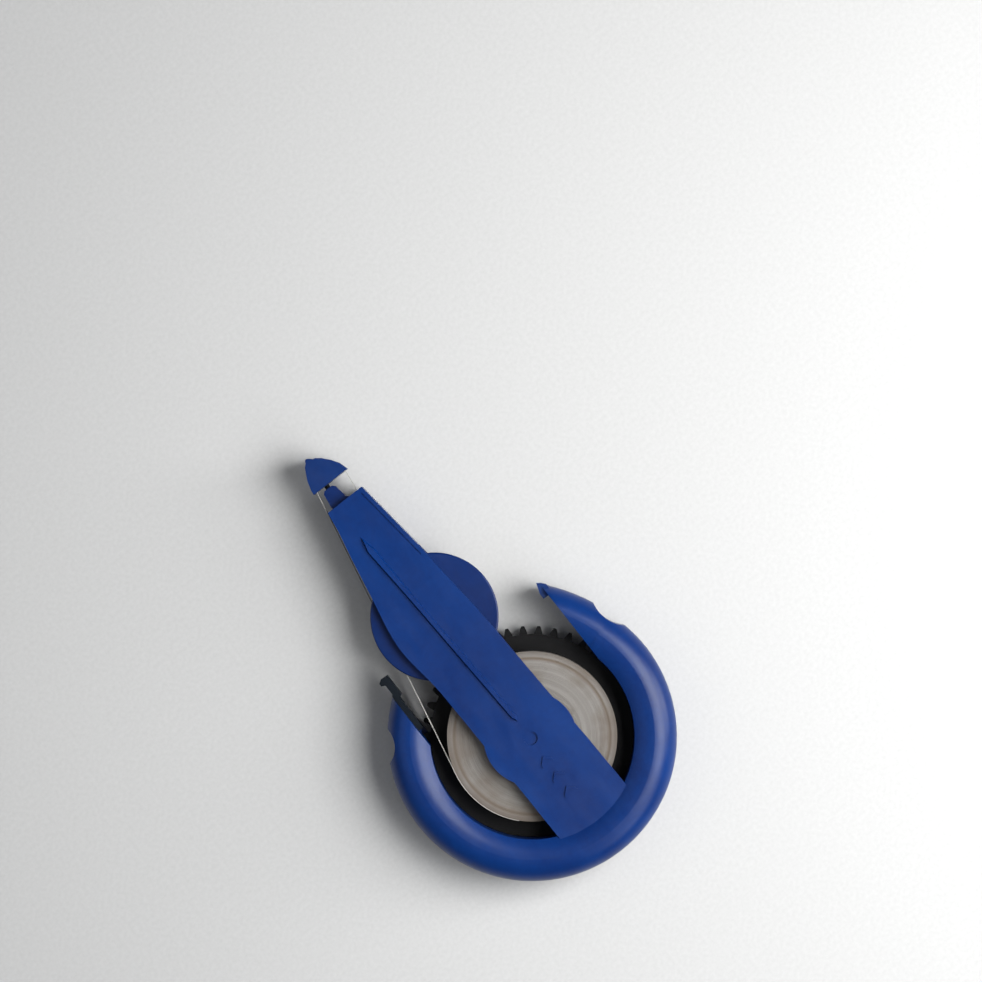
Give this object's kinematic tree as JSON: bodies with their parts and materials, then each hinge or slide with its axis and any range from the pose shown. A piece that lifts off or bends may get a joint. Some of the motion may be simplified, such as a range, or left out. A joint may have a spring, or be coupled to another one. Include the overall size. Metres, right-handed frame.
{
  "type": "correction tape cassette",
  "caption": "Refill cassette of a correction tape roller: ringed frame with a long arm, geared supply and take-up reels with tape, latch hooks and a swivelling applicator tip.",
  "frame": {"origin": "axis of the supply reel's axle, in the plane that the back rests on", "axes": "+Y along the arm towards the applicator tip, +Z out of the front cover, +X to the right seen from the front"},
  "size_m": [0.0464, 0.0807, 0.011],
  "materials": {
    "frame_blue": "moulded, glossy",
    "reel_blue": "moulded, glossy",
    "gear_black": "moulded, satin",
    "latch_black": "moulded, satin",
    "tip_navy": "moulded, satin",
    "core_grey": "moulded, satin",
    "tape_white": "coated film wound on edge",
    "liner": "thin clear film",
    "clutch_rubber": "matt"
  },
  "bodies": {
    "frame": {"front_cover": "frame_blue", "back_frame": "frame_blue", "left_latch": "latch_black", "right_latch": "tip_navy", "tip_holder": "reel_blue", "tip_pin": "latch_black", "feed_tape": "tape_white", "return_tape": "liner"},
    "supply_drive": {"supply_gear": "gear_black", "supply_retainer": "gear_black", "clutch_ring": "clutch_rubber"},
    "supply_spool": {"supply_core": "core_grey", "tape_roll": "tape_white"},
    "takeup_reel": {"takeup_drum": "gear_black", "takeup_flange": "reel_blue", "takeup_winding": "liner"},
    "tip": {"tip_head": "tip_navy", "tip_tape": "tape_white"}
  },
  "joints": [
    {"name": "supply_spin", "type": "hinge", "parent": "frame", "child": "supply_drive", "pos_m": [0, 0, 0], "axis": [0, 0, 1], "continuous": true},
    {"name": "clutch_slip", "type": "hinge", "parent": "supply_drive", "child": "supply_spool", "pos_m": [0, 0, 0], "axis": [0, 0, 1], "continuous": true},
    {"name": "takeup_spin", "type": "hinge", "parent": "frame", "child": "takeup_reel", "pos_m": [-0.0004, 0.0248, 0], "axis": [0, 0, 1], "continuous": true},
    {"name": "tip_swivel", "type": "hinge", "parent": "frame", "child": "tip", "pos_m": [-0.00105, 0.0521, 0.0056], "axis": [0, 1, 0], "range_deg": [-8, 8]}
  ],
  "couplings": [
    {"joint": "takeup_spin", "follows": "supply_spin", "ratio": -2.1}
  ]
}
